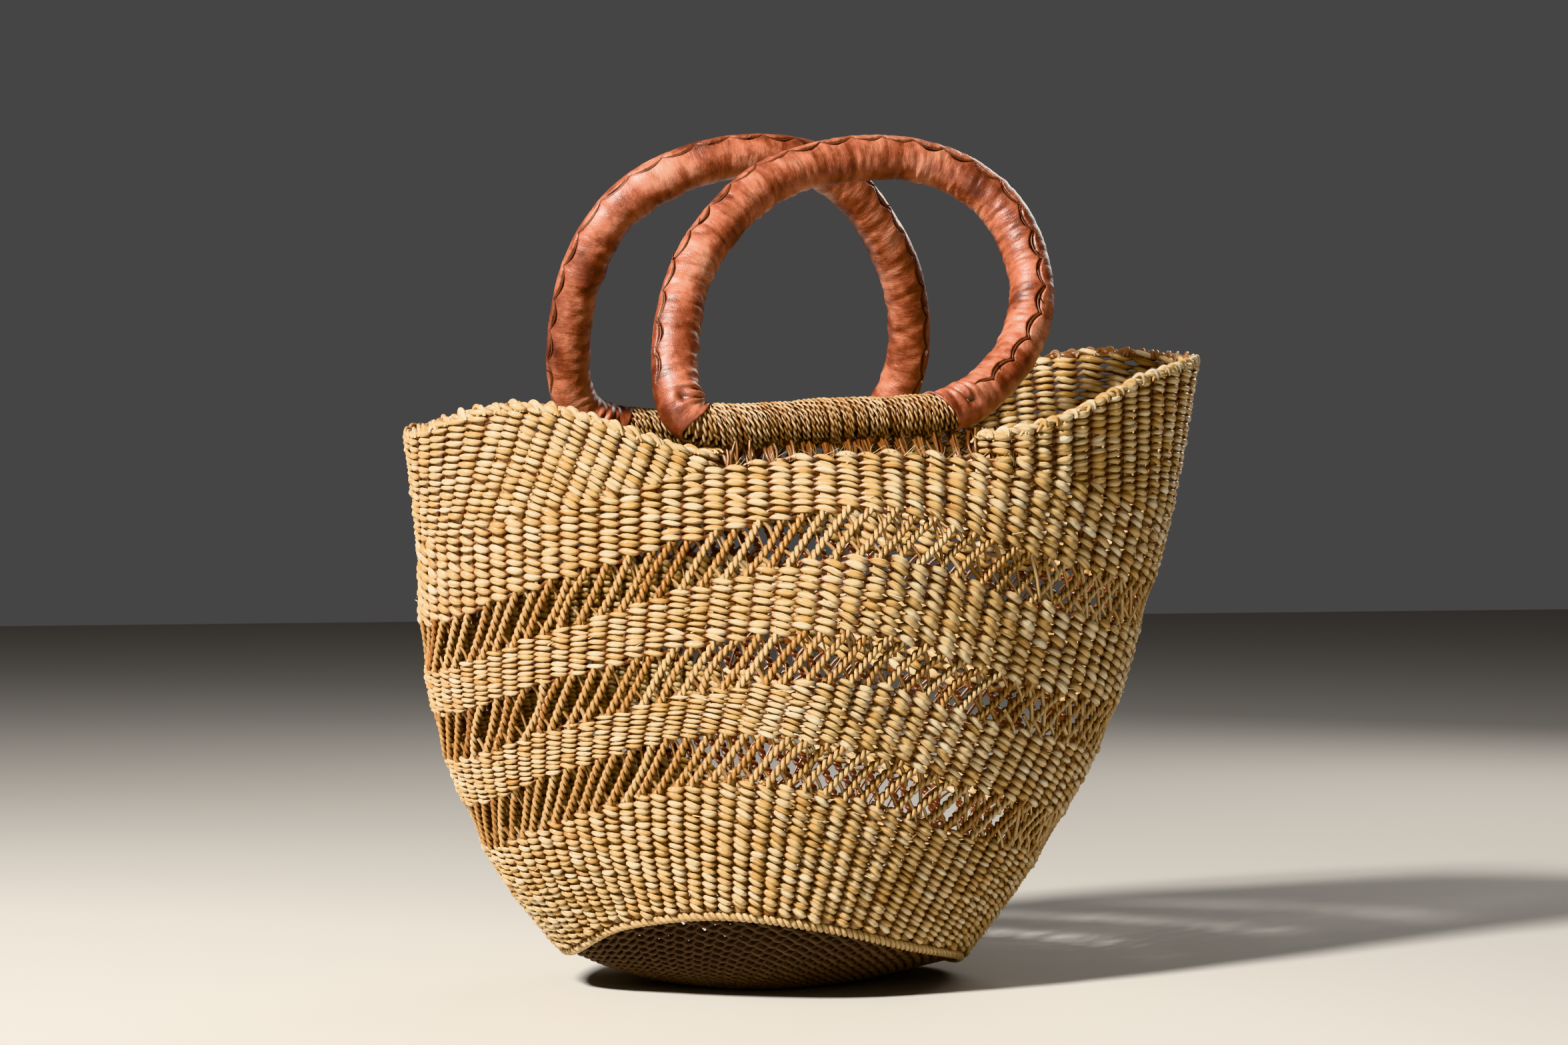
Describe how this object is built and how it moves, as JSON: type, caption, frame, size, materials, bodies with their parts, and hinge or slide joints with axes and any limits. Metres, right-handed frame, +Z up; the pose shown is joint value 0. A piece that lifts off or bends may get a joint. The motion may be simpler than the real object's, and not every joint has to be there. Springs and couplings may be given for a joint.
{
  "type": "woven basket",
  "caption": "Flared woven grass market basket with openwork bands, raised ends and leather-covered ring handles that swing on bound bars.",
  "frame": {"origin": "under the middle of the bounding box, on the surface the basket stands on", "axes": "+Z up, +X along the long side of the mouth towards the taller raised end, -Y towards the front"},
  "size_m": [0.4398, 0.2486, 0.4476],
  "materials": {
    "straw": "dry twined grass, pale golden tan",
    "openwork_straw": "twisted grass cord, warm brown in the shade",
    "base_straw": "dry grass, brown",
    "binding_straw": "fine twisted grass binding",
    "core_straw": "bundle of grass",
    "leather": "semi-gloss, wrinkled, terracotta with dark blotches",
    "lacing_leather": "matt leather thong"
  },
  "bodies": {
    "basket": {"base_panel": "base_straw", "base_edge_cord": "base_straw", "lower_wall_band": "straw", "openwork_band_lower": "openwork_straw", "second_wall_band": "straw", "openwork_band_middle": "openwork_straw", "third_wall_band": "straw", "openwork_band_upper": "openwork_straw", "top_wall_band": "straw", "wing_left": "straw", "wing_right": "straw", "rim_border_left": "straw", "rim_border_right": "straw", "front_stake_tails": "openwork_straw", "rear_stake_tails": "openwork_straw", "front_binding_wrap": "binding_straw", "rear_binding_wrap": "binding_straw"},
    "front_handle": {"front_handle_core": "core_straw", "front_leather_sleeve": "leather", "front_leather_fold_left": "leather", "front_leather_fold_right": "leather", "front_seam_lacing": "lacing_leather"},
    "rear_handle": {"rear_handle_core": "core_straw", "rear_leather_sleeve": "leather", "rear_leather_fold_left": "leather", "rear_leather_fold_right": "leather", "rear_seam_lacing": "lacing_leather"}
  },
  "joints": [
    {"name": "front_handle_swing", "type": "hinge", "parent": "basket", "child": "front_handle", "pos_m": [-0.0284, -0.0798, 0.2915], "axis": [0.9982, 0, 0.0593], "range_deg": [0, 54]},
    {"name": "rear_handle_swing", "type": "hinge", "parent": "basket", "child": "rear_handle", "pos_m": [-0.0169, 0.0782, 0.292], "axis": [-1, 0, 0], "range_deg": [0, 36]}
  ]
}
